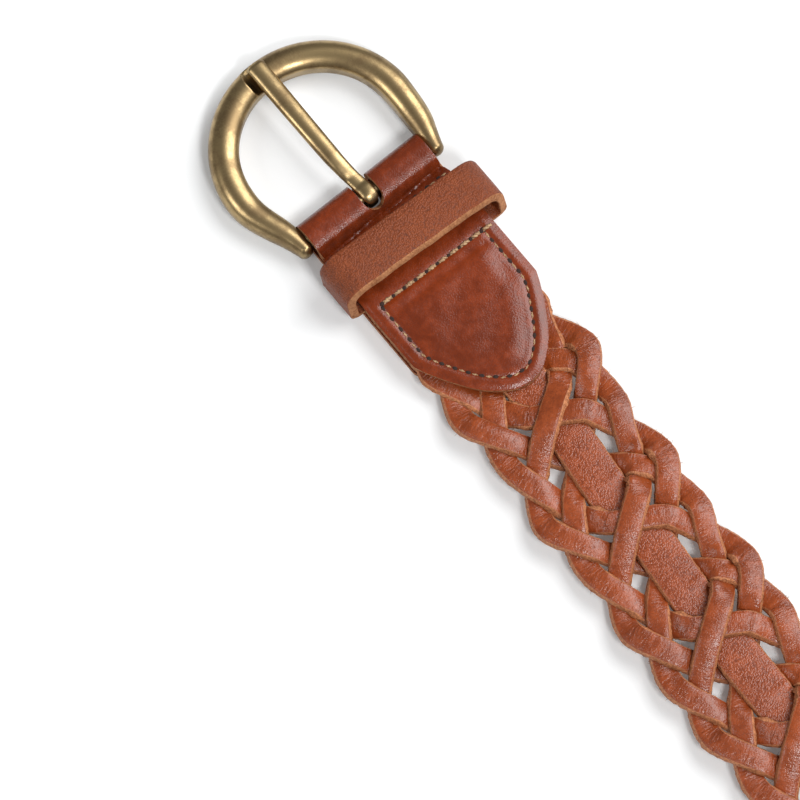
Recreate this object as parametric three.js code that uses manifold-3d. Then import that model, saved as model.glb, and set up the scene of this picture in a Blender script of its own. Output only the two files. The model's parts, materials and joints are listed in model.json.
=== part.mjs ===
import * as THREE from 'three';
import { mergeVertices } from 'three/addons/utils/BufferGeometryUtils.js';
import Module from 'manifold-3d';

// A braided leather belt lying flat, buckle towards -X, in millimetres. Until the last lines x runs from the
// buckle's bar towards the tip, y is zero on the braid's centre line and z is zero on the table.

// Buckle and prong
const barRadius = 1.8;
const barSlack = 0.4;
const archReach = 37.9;
const frameWidth = 49.4;
const frameBand = 6.8;
const frameHeight = 6.8;
const legSpread = 38.4;
const legOverhang = 3.6;
const legEndShare = 0.72;
const widestBehindBar = 13.5;
const prongLength = 37;
const prongWidth = 4.2;
const prongRootWidth = 3.7;
const prongThickness = 2.7;
const prongPlay = 0.2;
const eyeWall = 1.2;
const notchDepth = 1.5;
const notchPlay = 0.5;

// Folded leather at the buckle, its loop and the turn of the whole buckle end against the braid
const leather = 1.6;
const fit = 0.15;
const foldWidth = 32.4;
const shieldWidth = 34;
const shieldReach = 55.8;
const shieldTaper = 18.5;
const tipSkew = 0.7;
const slotWidth = 5.1;
const slotReach = 5.2;
const creaseAt = 6;
const creaseDrop = 1.7;
const endTurn = THREE.MathUtils.degToRad(1.8);
const endPivot = 45;
const endShift = 0.7;
const keeperStart = 8.6;
const keeperLength = 10.4;
const keeperLeather = 2.1;
const keeperInside = 38.2;
const keeperRoom = 5.4;
const keeperCorner = 2.6;

// Braid: six narrow strands that turn at the edges and one wide strand that runs straight
const turnPitch = 14.6;
const repeats = 24;
const braidReach = 15.2;
const strandWidth = 5.3;
const crossingShare = 0.82;
const strandLeather = 1.4;
const centreWidth = 9;
const layGap = 0.2;
const firstCrossing = 64.2;
const braidStart = 21;
const stationsPerZigzag = 21;
const stationsPerPanel = 6;
const pressedRoom = 3.5;
const pressedWidthShare = 0.9;
const pressRun = 24;
const sampleStep = 0.18;

// Plain tip
const tipLength = 92;
const tipPocket = 26;
const tipPoint = 20;

// The course of a narrow strand over one zigzag of six turn pitches: along counts turn pitches from a
// crossing over the wide strand, across is the share of braidReach to the side.
const zigzagTurns = 6;
const evenCourse = [
  { along: -1.6, across: 0.93 },
  { along: -1.18, across: 0.775 },
  { along: -0.63, across: 0.59 },
  { along: -0.31, across: 0.476 },
  { along: 0, across: 0.01 },
  { along: 0.28, across: -0.455 },
  { along: 0.52, across: -0.775 },
  { along: 1.25, across: -0.99 },
  { along: 1.83, across: -0.775 },
  { along: 2.18, across: -0.556 },
  { along: 2.76, across: -0.02 },
  { along: 3.2, across: 0.39 },
  { along: 3.37, across: 0.58 },
  { along: 3.63, across: 0.77 },
];
const oddCourse = [
  { along: -2.54, across: 1 },
  { along: -1.85, across: 0.535 },
  { along: -1.255, across: 0 },
  { along: -0.71, across: -0.484 },
  { along: 0.31, across: -0.95 },
  { along: 1.125, across: -0.63 },
  { along: 1.82, across: -0.28 },
  { along: 2, across: 0.01 },
  { along: 2.31, across: 0.476 },
];
// On its way from an upper turn to the lower edge a strand meets five rising strands, counted from 1;
// it goes under these and over the others.
const fallingGoesUnder = [2, 5];
const crossingsPerFall = 5;
const panelTurns = 2;

// The shield's edge from the tip back to the full width, as shares of shieldTaper and of half the width
const shieldEdge = [
  { back: 0, side: 0 },
  { back: 0.02, side: 0.16 },
  { back: 0.13, side: 0.36 },
  { back: 0.28, side: 0.54 },
  { back: 0.57, side: 0.76 },
  { back: 0.87, side: 0.94 },
  { back: 1, side: 1 },
];

const barHeight = barRadius + barSlack + leather;
const braidPitch = panelTurns * turnPitch;

const wasm = await Module();
wasm.setup();

function toSolid(geometry) {
  const plain = geometry.index ? geometry.clone() : geometry;
  plain.deleteAttribute('normal');
  plain.deleteAttribute('uv');
  const merged = mergeVertices(plain, 1e-4);
  const mesh = new wasm.Mesh({
    numProp: 3,
    vertProperties: new Float32Array(merged.attributes.position.array),
    triVerts: new Uint32Array(merged.index.array),
  });
  return new wasm.Manifold(mesh);
}

function toGeometry(solid) {
  const mesh = solid.getMesh();
  const geometry = new THREE.BufferGeometry();
  geometry.setAttribute('position', new THREE.BufferAttribute(mesh.vertProperties, 3));
  geometry.setIndex(new THREE.BufferAttribute(mesh.triVerts, 1));
  geometry.computeVertexNormals();
  return geometry;
}

// A closed body through rings of equally many points, capped at both ends. The four-sided faces of a side
// are split along one diagonal, and those of the sides listed as turned along the other.
function loft(rings, turned = []) {
  const count = rings[0].length;
  const positions = rings.flat().flatMap((p) => [p.x, p.y, p.z]);
  const index = [];
  const last = (rings.length - 1) * count;
  for (let r = 0; r + 1 < rings.length; r++) {
    for (let i = 0; i < count; i++) {
      const a = r * count + i;
      const b = r * count + ((i + 1) % count);
      if (turned.includes(i)) {
        index.push(a, b, a + count, b, b + count, a + count);
      } else {
        index.push(a, b, b + count, a, b + count, a + count);
      }
    }
  }
  for (let i = 1; i + 1 < count; i++) {
    index.push(0, i + 1, i, last, last + i, last + i + 1);
  }
  const geometry = new THREE.BufferGeometry();
  geometry.setAttribute('position', new THREE.Float32BufferAttribute(positions, 3));
  geometry.setIndex(index);
  geometry.computeVertexNormals();
  return geometry;
}

function smoothShare(value) {
  return THREE.MathUtils.smoothstep(value, 0, 1);
}

// Extrudes an outline in the x-z plane across y, centred on y = 0
function acrossBelt(shape, width) {
  const geometry = new THREE.ExtrudeGeometry(shape, { depth: width, bevelEnabled: false });
  geometry.translate(0, 0, -width / 2);
  geometry.applyMatrix4(new THREE.Matrix4().makeRotationX(Math.PI / 2));
  return geometry;
}

function upright(shape, low, high) {
  const geometry = new THREE.ExtrudeGeometry(shape, { depth: high - low, bevelEnabled: false });
  geometry.translate(0, 0, low);
  return geometry;
}

function barCylinder(radius, width, sides) {
  const geometry = new THREE.CylinderGeometry(radius, radius, width, sides);
  geometry.translate(0, 0, barHeight);
  return geometry;
}

// Rounded section: width across, height up, squarer as the power grows
function sectionPoint(angle, halfWidth, halfHeight, power) {
  const c = Math.cos(angle);
  const s = Math.sin(angle);
  return {
    across: halfWidth * Math.sign(c) * Math.abs(c) ** (2 / power),
    up: halfHeight * Math.sign(s) * Math.abs(s) ** (2 / power),
  };
}

function buckleFrame() {
  const sides = 12;
  const half = (frameWidth - frameBand) / 2;
  const archRadius = archReach - frameBand / 2 - widestBehindBar;
  const legEnd = legSpread / 2 - 0.7 * (half - legSpread / 2) * (legOverhang / widestBehindBar);
  const path = new THREE.Path();
  path.moveTo(legOverhang, legEnd);
  path.quadraticCurveTo(-widestBehindBar * 0.3, half, -widestBehindBar, half);
  path.absellipse(-widestBehindBar, 0, archRadius, half, Math.PI / 2, 1.5 * Math.PI, false);
  path.quadraticCurveTo(-widestBehindBar * 0.3, -half, legOverhang, -legEnd);
  const steps = 32;
  const rings = [];
  const points = path.getSpacedPoints(steps);
  const endRings = [{ share: 0.35, past: 1 }, { share: 0.75, past: 0.75 }, { share: 0.95, past: 0.3 }];
  for (let k = 0; k <= steps; k++) {
    const here = points[k];
    const ahead = points[Math.min(k + 1, steps)].clone().sub(points[Math.max(k - 1, 0)]).normalize();
    const inward = new THREE.Vector2(-ahead.y, ahead.x);
    const legShare = smoothShare((here.x + widestBehindBar) / (widestBehindBar + legOverhang));
    const narrow = 1 - (1 - legEndShare) * legShare;
    const ring = (size, past) => Array.from({ length: sides }, (_, i) => {
      const angle = (i / sides) * 2 * Math.PI;
      const power = Math.cos(angle) > 0 ? 3.4 : 2.2;
      const p = sectionPoint(angle, size * narrow * frameBand / 2, size * frameHeight / 2, power);
      return new THREE.Vector3(
        here.x + inward.x * p.across + ahead.x * past,
        here.y + inward.y * p.across + ahead.y * past,
        barHeight + p.up,
      );
    });
    if (k === 0) endRings.forEach((end) => rings.push(ring(end.share, -end.past)));
    rings.push(ring(1, 0));
    if (k === steps) [...endRings].reverse().forEach((end) => rings.push(ring(end.share, end.past)));
  }
  const bar = barCylinder(barRadius, legSpread, 20);
  const notchRing = (x) => Array.from({ length: 20 }, (_, i) => {
    const p = sectionPoint((i / 20) * 2 * Math.PI, prongWidth / 2 + notchPlay, frameHeight / 2, 3);
    return new THREE.Vector3(x, p.across, barHeight + frameHeight - notchDepth + p.up);
  });
  const notch = loft([notchRing(-archReach - frameBand), notchRing(frameBand - archReach)]);
  return toGeometry(toSolid(loft(rings)).add(toSolid(bar)).subtract(toSolid(notch)));
}

function prong() {
  const eyeRadius = barRadius + prongPlay + eyeWall;
  const restHeight = barHeight + frameHeight / 2 - notchDepth + fit + prongThickness / 2;
  const rootHeight = barHeight + eyeRadius - prongThickness * 0.4;
  // From the free tip to the eye: along is the share of prongLength from the bar, drop is the share of
  // the way down from restHeight to rootHeight, thick and wide are shares of the full section.
  const stretches = [
    { along: 1.012, drop: 0.1, thick: 0.3, wide: 0.55 },
    { along: 1, drop: 0.05, thick: 0.72, wide: 0.86 },
    { along: 0.97, drop: 0, thick: 0.95, wide: 1 },
    { along: 0.6, drop: 0, thick: 1, wide: 1 },
    { along: 0.27, drop: 0.05, thick: 1, wide: 1 },
    { along: 0.17, drop: 0.25, thick: 0.97, wide: 1 },
    { along: 0.08, drop: 0.75, thick: 0.88, wide: 1 },
    { along: 0, drop: 1, thick: 0.8, wide: 1 },
  ];
  const sides = 12;
  const rings = stretches.map((row) => {
    const x = -row.along * prongLength;
    const z = THREE.MathUtils.lerp(restHeight, rootHeight, row.drop);
    const width = THREE.MathUtils.lerp(prongRootWidth, prongWidth, Math.min(1, row.along * 2)) * row.wide;
    return Array.from({ length: sides }, (_, i) => {
      const p = sectionPoint((i / sides) * 2 * Math.PI, width / 2, prongThickness * row.thick / 2, 2.8);
      return new THREE.Vector3(x, p.across, z + p.up);
    });
  });
  const eye = barCylinder(eyeRadius, prongRootWidth, 24);
  const hole = barCylinder(barRadius + prongPlay, 2 * prongWidth, 24);
  return toGeometry(toSolid(loft(rings)).add(toSolid(eye)).subtract(toSolid(hole)));
}

function shieldOutline(reach, width, taper, skew, backX) {
  const half = width / 2;
  const edge = (side) => shieldEdge.map((row) => new THREE.Vector2(
    reach - row.back * taper,
    side * row.side * half + skew * (1 - row.side),
  ));
  const upper = edge(1);
  const lower = edge(-1).reverse();
  const shape = new THREE.Shape();
  const foldHalf = foldWidth / 2;
  const widens = keeperStart;
  shape.moveTo(backX, -foldHalf);
  shape.lineTo(creaseAt, -foldHalf);
  shape.lineTo(widens, -half);
  lower.forEach((p) => shape.lineTo(p.x, p.y));
  upper.slice(1).forEach((p) => shape.lineTo(p.x, p.y));
  shape.lineTo(widens, half);
  shape.lineTo(creaseAt, foldHalf);
  shape.lineTo(backX, foldHalf);
  return shape;
}

// Height of the pocket between the two leaves, where the pressed strand ends lie
const pocketLow = leather + fit;
const pocketHigh = pocketLow + pressedRoom;
const layMiddle = (pocketLow + pocketHigh) / 2;
const frontMiddle = pocketHigh + fit + leather / 2;

function chape() {
  const far = shieldReach + leather;
  const middleRadius = barHeight - leather / 2;
  const line = [new THREE.Vector2(far, leather / 2)];
  const arcSteps = 10;
  for (let i = 0; i <= arcSteps; i++) {
    const angle = Math.PI * (1.5 - i / arcSteps);
    line.push(new THREE.Vector2(middleRadius * Math.cos(angle), barHeight + middleRadius * Math.sin(angle)));
  }
  const foldTop = barHeight + middleRadius;
  line.push(new THREE.Vector2(creaseAt * 0.5, foldTop - 0.3 * creaseDrop));
  line.push(new THREE.Vector2(creaseAt, frontMiddle - creaseDrop));
  line.push(new THREE.Vector2(keeperStart, frontMiddle - 0.15 * creaseDrop));
  line.push(new THREE.Vector2(keeperStart + leather, frontMiddle));
  line.push(new THREE.Vector2(far, frontMiddle));
  const sideAt = (k, side) => {
    const before = line[Math.max(k - 1, 0)];
    const after = line[Math.min(k + 1, line.length - 1)];
    const here = line[k];
    const run = here.clone().sub(before).normalize();
    const next = after.clone().sub(here).normalize();
    const sum = k === 0 ? next : k === line.length - 1 ? run : run.clone().add(next).normalize();
    const mitre = k === 0 || k === line.length - 1 ? 1 : 1 / Math.sqrt((1 + run.dot(next)) / 2);
    return new THREE.Vector2(-sum.y, sum.x).multiplyScalar(side * mitre * leather / 2).add(here);
  };
  const outer = line.map((_, k) => sideAt(k, 1));
  const inner = line.map((_, k) => sideAt(k, -1)).reverse();
  const profile = toSolid(acrossBelt(new THREE.Shape([...outer, ...inner]), 2 * shieldWidth));
  const plan = toSolid(upright(
    shieldOutline(shieldReach, shieldWidth, shieldTaper, tipSkew, -2 * barHeight),
    -leather,
    frontMiddle + 2 * barHeight,
  ));
  const slot = new THREE.Shape();
  slot.moveTo(-3 * barHeight, -slotWidth / 2);
  slot.lineTo(slotReach - slotWidth / 2, -slotWidth / 2);
  slot.absarc(slotReach - slotWidth / 2, 0, slotWidth / 2, -Math.PI / 2, Math.PI / 2, false);
  slot.lineTo(-3 * barHeight, slotWidth / 2);
  const slotCut = toSolid(upright(slot, -leather, frontMiddle + 2 * barHeight));
  return toGeometry(profile.intersect(plan).subtract(slotCut));
}

function roundedBox(halfWidth, low, high, corner) {
  const shape = new THREE.Shape();
  shape.absarc(halfWidth - corner, low + corner, corner, -Math.PI / 2, 0, false);
  shape.absarc(halfWidth - corner, high - corner, corner, 0, Math.PI / 2, false);
  shape.absarc(-halfWidth + corner, high - corner, corner, Math.PI / 2, Math.PI, false);
  shape.absarc(-halfWidth + corner, low + corner, corner, Math.PI, 1.5 * Math.PI, false);
  return shape;
}

function keeper() {
  const low = leather + fit;
  const high = frontMiddle + leather / 2 + keeperRoom + keeperLeather;
  const half = keeperInside / 2;
  const ring = roundedBox(half + keeperLeather, low, high, keeperCorner);
  const inside = roundedBox(half, low + keeperLeather, high - keeperLeather, keeperCorner - keeperLeather / 2);
  ring.holes.push(inside);
  const geometry = new THREE.ExtrudeGeometry(ring, { depth: keeperLength, bevelEnabled: false, curveSegments: 4 });
  const basis = new THREE.Matrix4().makeBasis(
    new THREE.Vector3(0, 1, 0),
    new THREE.Vector3(0, 0, 1),
    new THREE.Vector3(1, 0, 0),
  );
  geometry.applyMatrix4(basis);
  geometry.translate(keeperStart, 0, 0);
  return geometry;
}

// Side place of a course at any distance along, smooth through its rows and repeating each zigzag
function courseAcross(course, along) {
  const rowAt = (i) => {
    const turns = Math.floor(i / course.length);
    const row = course[i - turns * course.length];
    return { along: row.along + zigzagTurns * turns, across: row.across };
  };
  const zigzags = Math.floor((along - course[0].along) / zigzagTurns);
  const local = along - zigzags * zigzagTurns;
  let i = 0;
  while (i + 1 < course.length && course[i + 1].along <= local) i++;
  const rise = (p, q) => (q.across - p.across) / (q.along - p.along);
  const slopeAt = (k) => {
    const before = rise(rowAt(k - 1), rowAt(k));
    const after = rise(rowAt(k), rowAt(k + 1));
    return before * after <= 0 ? 0 : (2 * before * after) / (before + after);
  };
  const from = rowAt(i);
  const to = rowAt(i + 1);
  const run = to.along - from.along;
  const t = (local - from.along) / run;
  const s = 1 - t;
  return from.across * (1 + 2 * t) * s * s + to.across * t * t * (3 - 2 * t)
    + run * t * s * (slopeAt(i) * s - slopeAt(i + 1) * t);
}

function coursePoint(course, along) {
  return new THREE.Vector2(along * turnPitch, courseAcross(course, along) * braidReach);
}

// Stations at equal steps of length over one zigzag, each with its two edge points
function zigzagStations(course) {
  const fine = 600;
  const start = course[0].along;
  const lengths = [0];
  for (let i = 1; i <= fine; i++) {
    const before = coursePoint(course, start + (zigzagTurns * (i - 1)) / fine);
    lengths.push(lengths[i - 1] + before.distanceTo(coursePoint(course, start + (zigzagTurns * i) / fine)));
  }
  const stations = [];
  let k = 0;
  for (let i = 0; i < stationsPerZigzag; i++) {
    const wanted = (lengths[fine] * i) / stationsPerZigzag;
    while (lengths[k + 1] < wanted) k++;
    const along = start + (zigzagTurns * (k + (wanted - lengths[k]) / (lengths[k + 1] - lengths[k]))) / fine;
    const here = coursePoint(course, along);
    const ahead = coursePoint(course, along + 0.05).sub(coursePoint(course, along - 0.05)).normalize();
    const turning = Math.abs(courseAcross(course, along)) ** 12;
    const half = (strandWidth / 2) * THREE.MathUtils.lerp(crossingShare, 1, turning);
    const side = new THREE.Vector2(-ahead.y, ahead.x).multiplyScalar(half);
    stations.push({ left: here.clone().add(side), right: here.clone().sub(side) });
  }
  return stations;
}

function panelStations() {
  return Array.from({ length: stationsPerPanel }, (_, i) => {
    const x = (braidPitch * i) / stationsPerPanel;
    return {
      left: new THREE.Vector2(x, centreWidth / 2),
      right: new THREE.Vector2(x, -centreWidth / 2),
    };
  });
}

// One family of strands: turn is the number of its upper turn at the start of the course
function strandFamily(course, turn) {
  const lowest = course.reduce((a, b) => (b.across < a.across ? b : a));
  const stations = zigzagStations(course);
  return { stations, length: zigzagTurns * turnPitch, fallEnd: lowest.along * turnPitch, turn };
}

const even = strandFamily(evenCourse, 0);
const odd = strandFamily(oddCourse, -1);
const centre = { stations: panelStations(), length: braidPitch };
const families = [even, odd, centre];
families.forEach((family) => {
  family.heights = new Float64Array(2 * family.stations.length);
});

// Lists, for sample points over one repeat of the braid, which facet of each strand covers the point
function coverSamples(step) {
  const columns = Math.round(braidPitch / step);
  const halfRows = Math.ceil((braidReach + strandWidth) / step);
  const cells = new Map();
  const cover = (family, corners) => {
    const [a, b, c] = corners.map((corner) => corner.place);
    const area = (b.x - a.x) * (c.y - a.y) - (c.x - a.x) * (b.y - a.y);
    const lowX = Math.ceil(Math.min(a.x, b.x, c.x) / step);
    const highX = Math.floor(Math.max(a.x, b.x, c.x) / step);
    const lowY = Math.ceil(Math.min(a.y, b.y, c.y) / step);
    const highY = Math.floor(Math.max(a.y, b.y, c.y) / step);
    for (let ix = lowX; ix <= highX; ix++) {
      for (let iy = lowY; iy <= highY; iy++) {
        const dx = ix * step - a.x;
        const dy = iy * step - a.y;
        const wb = (dx * (c.y - a.y) - (c.x - a.x) * dy) / area;
        const wc = ((b.x - a.x) * dy - dx * (b.y - a.y)) / area;
        const weights = [1 - wb - wc, wb, wc];
        if (Math.min(...weights) < 0) continue;
        const shift = panelTurns * Math.floor(ix / columns);
        const falling = ix * step < family.fallEnd;
        const turn = family === centre ? 0 : family.turn - shift + (falling ? 0 : zigzagTurns);
        const key = (ix - columns * Math.floor(ix / columns)) * 4 * halfRows + iy;
        if (!cells.has(key)) cells.set(key, []);
        const layers = cells.get(key);
        if (layers.some((o) => o.family === family && o.falling === falling && o.turn === turn)) continue;
        layers.push({ family, falling, turn, weights, corners: corners.map((corner) => corner.vertex) });
      }
    }
  };
  for (const family of families) {
    const count = family.stations.length;
    for (let i = 0; i < count; i++) {
      const here = family.stations[i];
      const j = (i + 1) % count;
      const move = new THREE.Vector2(j === 0 ? family.length : 0, 0);
      const corners = [
        { place: here.left, vertex: 2 * i },
        { place: here.right, vertex: 2 * i + 1 },
        { place: family.stations[j].right.clone().add(move), vertex: 2 * j + 1 },
        { place: family.stations[j].left.clone().add(move), vertex: 2 * j },
      ];
      cover(family, [corners[0], corners[1], corners[2]]);
      cover(family, [corners[0], corners[2], corners[3]]);
    }
  }
  return [...cells.values()];
}

// True if layer p lies over layer q, null where a strand meets itself in its own turn
function liesOver(p, q) {
  if (p.family === centre) {
    return !liesOver(q, p);
  }
  if (q.family === centre) {
    return p.falling === (p.family === even);
  }
  if (p.falling === q.falling) return p.turn < q.turn;
  const falling = p.falling ? p : q;
  const meeting = (p.falling ? q : p).turn - falling.turn;
  if (meeting < 1 || meeting > crossingsPerFall) return null;
  return (p === falling) !== fallingGoesUnder.includes(meeting);
}

// Settles the heights of all strand edges: crossings push their two strands apart until they clear,
// while each strand keeps drawing itself straight.
function settle() {
  const crossings = [];
  for (const layers of coverSamples(sampleStep)) {
    layers.forEach((p, i) => layers.slice(i + 1).forEach((q) => {
      const over = liesOver(p, q);
      if (over !== null) crossings.push(over ? [p, q] : [q, p]);
    }));
  }
  const apart = strandLeather + layGap;
  const push = (strength) => {
    for (const [over, under] of crossings) {
      let short = apart;
      let share = 0;
      for (let k = 0; k < 3; k++) {
        short += under.weights[k] * under.family.heights[under.corners[k]];
        short -= over.weights[k] * over.family.heights[over.corners[k]];
        share += under.weights[k] ** 2 + over.weights[k] ** 2;
      }
      if (short <= 0) continue;
      for (let k = 0; k < 3; k++) {
        over.family.heights[over.corners[k]] += (strength * short * over.weights[k]) / share;
        under.family.heights[under.corners[k]] -= (strength * short * under.weights[k]) / share;
      }
    }
  };
  const straighten = (rate) => {
    for (const family of families) {
      const old = Float64Array.from(family.heights);
      const size = old.length;
      old.forEach((height, v) => {
        const neighbours = (old[(v + 2) % size] + old[(v + size - 2) % size]) / 2;
        const twin = old[v % 2 === 0 ? v + 1 : v - 1];
        family.heights[v] += rate * (neighbours - height) + 0.5 * rate * (twin - height);
      });
    }
  };
  const rounds = 300;
  for (let k = 0; k < rounds; k++) {
    straighten(0.1 * (1 - k / rounds));
    push(0.5);
  }
  for (let k = 0; k < rounds; k++) push(1);
}
settle();

const tipStart = firstCrossing + (repeats - 1) * braidPitch;
const braidEnd = tipStart + tipPocket - 2;
const settled = families.flatMap((family) => Array.from(family.heights));
const layLow = Math.min(...settled) - strandLeather / 2;
const layHigh = Math.max(...settled) + strandLeather / 2;

// Under the shield and in the tip the strands are skived and pressed flat; this is how far, from 0 to 1
function pressedAt(x) {
  const front = smoothShare((shieldReach + pressRun - x) / pressRun);
  const back = smoothShare((x - tipStart + pressRun) / pressRun);
  return Math.max(front, back);
}

function strand(family, shift) {
  const rings = [];
  const count = family.stations.length;
  const freeMiddle = Math.max(layMiddle, -layLow);
  for (let i = -count; i < (repeats + zigzagTurns) * count; i++) {
    const lap = Math.floor(i / count);
    const at = i - lap * count;
    const station = family.stations[at];
    const offset = firstCrossing + shift * turnPitch + lap * family.length;
    const middleX = offset + (station.left.x + station.right.x) / 2;
    if (middleX < braidStart || middleX > braidEnd) continue;
    const corner = (place, edge, side) => {
      const pressed = pressedAt(offset + place.x);
      const press = THREE.MathUtils.lerp(1, pressedRoom / (layHigh - layLow), pressed);
      const narrow = THREE.MathUtils.lerp(1, pressedWidthShare, pressed);
      const middle = THREE.MathUtils.lerp(freeMiddle, layMiddle - press * (layHigh + layLow) / 2, pressed);
      const z = middle + press * (family.heights[2 * at + edge] + (side * strandLeather) / 2);
      return new THREE.Vector3(offset + place.x, narrow * place.y, z);
    };
    rings.push([
      corner(station.left, 0, -1),
      corner(station.left, 0, 1),
      corner(station.right, 1, 1),
      corner(station.right, 1, -1),
    ]);
  }
  const underside = 3;
  return loft(rings, [underside]);
}

function tip() {
  const height = 2 * (leather + fit) + pressedRoom;
  const start = tipStart;
  const shape = new THREE.Shape();
  const half = shieldWidth / 2;
  const reach = start + tipLength;
  shape.moveTo(start, -half);
  shape.lineTo(reach - tipPoint, -half);
  shape.quadraticCurveTo(reach, -half * 0.75, reach, 0);
  shape.quadraticCurveTo(reach, half * 0.75, reach - tipPoint, half);
  shape.lineTo(start, half);
  const pocket = new THREE.BoxGeometry(2 * tipPocket, 2 * shieldWidth, pressedRoom + 2 * fit);
  pocket.translate(start, 0, layMiddle);
  const leaf = (thickness) => toSolid(upright(shape, 0, thickness));
  return toGeometry(leaf(height).subtract(toSolid(pocket)));
}

const tan = new THREE.MeshStandardMaterial({ color: 0x92482a, roughness: 0.55, metalness: 0 });
const paleTan = new THREE.MeshStandardMaterial({ color: 0x9c5230, roughness: 0.6, metalness: 0 });
const brass = new THREE.MeshStandardMaterial({ color: 0x96824f, roughness: 0.35, metalness: 1 });

function piece(name, geometry, material) {
  const mesh = new THREE.Mesh(geometry, material.clone());
  mesh.name = name;
  return mesh;
}

const buckleEnd = new THREE.Group();
buckleEnd.add(
  piece('buckle_frame', buckleFrame(), brass),
  piece('prong', prong(), brass),
  piece('chape', chape(), tan),
  piece('keeper', keeper(), paleTan),
);
buckleEnd.children.forEach((mesh) => mesh.position.set(-endPivot, 0, 0));
buckleEnd.rotation.z = endTurn;
buckleEnd.position.set(endPivot, endShift, 0);

const braid = new THREE.Group();
braid.add(piece('centre_strand', strand(centre, 0), tan));
for (let k = 0; k < 3; k++) {
  braid.add(piece(`strand_${2 * k + 1}`, strand(even, panelTurns * k), tan));
  braid.add(piece(`strand_${2 * k + 2}`, strand(odd, panelTurns * k), tan));
}
braid.add(piece('tip', tip(), tan));

// The belt's origin is under the middle of its box, on the table
const belt = new THREE.Group();
belt.add(buckleEnd, braid);
belt.updateMatrixWorld(true);
const box = new THREE.Box3().setFromObject(belt);
const boxMiddle = box.getCenter(new THREE.Vector3());
belt.position.set(-boxMiddle.x, -boxMiddle.y, -box.min.z);

export default belt;
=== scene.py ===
import json
import math

import bmesh
import bpy
import numpy as np
from mathutils import Matrix, Vector

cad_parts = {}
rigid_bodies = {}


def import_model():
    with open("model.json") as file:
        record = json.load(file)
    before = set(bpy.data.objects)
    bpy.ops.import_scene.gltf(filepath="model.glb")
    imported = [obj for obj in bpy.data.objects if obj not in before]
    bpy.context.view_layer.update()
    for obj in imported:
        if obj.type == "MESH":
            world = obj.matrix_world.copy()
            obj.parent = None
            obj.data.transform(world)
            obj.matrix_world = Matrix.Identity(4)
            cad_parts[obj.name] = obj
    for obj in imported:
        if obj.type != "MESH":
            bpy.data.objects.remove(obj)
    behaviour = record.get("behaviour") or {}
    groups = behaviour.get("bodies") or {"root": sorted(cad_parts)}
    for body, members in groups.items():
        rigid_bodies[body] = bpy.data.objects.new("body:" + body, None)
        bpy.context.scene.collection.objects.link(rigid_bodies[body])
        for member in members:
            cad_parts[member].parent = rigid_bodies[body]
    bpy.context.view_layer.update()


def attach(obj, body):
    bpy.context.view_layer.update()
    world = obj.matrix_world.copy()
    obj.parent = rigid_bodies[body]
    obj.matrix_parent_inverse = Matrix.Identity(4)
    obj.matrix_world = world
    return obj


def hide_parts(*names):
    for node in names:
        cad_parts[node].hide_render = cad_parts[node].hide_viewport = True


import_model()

# Sizes are in millimetres and in the belt's own coordinates: x from the buckle's bar towards the tip, y from
# the middle of the braid, z from the table. The places below turn them into the shared frame, in metres.
layout = {
    "barX": -394.583, "middleY": 1.233, "endTurn": math.radians(1.8), "endPivot": 45.0, "endShift": 0.7,
    "unit": 0.001,
}


def braidPlace(points):
    return (points.reshape(-1, 3) + (layout["barX"], layout["middleY"], 0)) * layout["unit"]


# The buckle end lies turned a little, from the end of the shield
def endPlace(points):
    points = points.reshape(-1, 3)
    c = math.cos(layout["endTurn"])
    s = math.sin(layout["endTurn"])
    x = points[:, 0] - layout["endPivot"]
    y = points[:, 1]
    turnedX = c * x - s * y + layout["endPivot"]
    turnedY = s * x + c * y + layout["endShift"]
    return braidPlace(np.stack([turnedX, turnedY, points[:, 2]], axis=1))


def smoothStep(value):
    t = np.clip(value, 0, 1)
    return t * t * (3 - 2 * t)


def pointsOf(x, y, z):
    return np.stack(np.broadcast_arrays(x, y, z), axis=-1)


# A curve through rows of (place, value) that never swings past them
def throughRows(rows, at):
    xs, ys = np.array(rows, float).T
    rise = np.diff(ys) / np.diff(xs)
    both = rise[:-1] * rise[1:]
    total = np.where(both > 0, rise[:-1] + rise[1:], 1)
    slope = np.concatenate([[rise[0]], np.where(both > 0, 2 * both / total, 0), [rise[-1]]])
    at = np.clip(at, xs[0], xs[-1])
    i = np.clip(np.searchsorted(xs, at, side="right") - 1, 0, len(xs) - 2)
    run = xs[i + 1] - xs[i]
    t = (at - xs[i]) / run
    s = 1 - t
    level = ys[i] * (1 + 2 * t) * s * s + ys[i + 1] * t * t * (3 - 2 * t)
    return level + run * t * s * (slope[i] * s - slope[i + 1] * t)


def linked(name, data):
    made = bpy.data.objects.new(name, data)
    bpy.context.scene.collection.objects.link(made)
    return made


def tidyMesh(piece, merge=0.0):
    shape = bmesh.new()
    shape.from_mesh(piece.data)
    if merge:
        bmesh.ops.remove_doubles(shape, verts=shape.verts, dist=merge)
    bmesh.ops.recalc_face_normals(shape, faces=shape.faces)
    for face in shape.faces:
        face.smooth = True
    shape.to_mesh(piece.data)
    shape.free()
    return piece


def makeObject(name, points, faces, materials, faceMaterials=None, attributes=None, merge=0.0):
    mesh = bpy.data.meshes.new(name)
    mesh.from_pydata(points.tolist(), [], [list(map(int, face)) for face in faces])
    for material in materials:
        mesh.materials.append(material)
    if faceMaterials is not None:
        mesh.polygons.foreach_set("material_index", np.asarray(faceMaterials, np.int32))
    for key, values in (attributes or {}).items():
        mesh.attributes.new(key, "FLOAT", "POINT").data.foreach_set("value", values.astype(np.float32))
    return tidyMesh(linked(name, mesh), merge)


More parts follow.
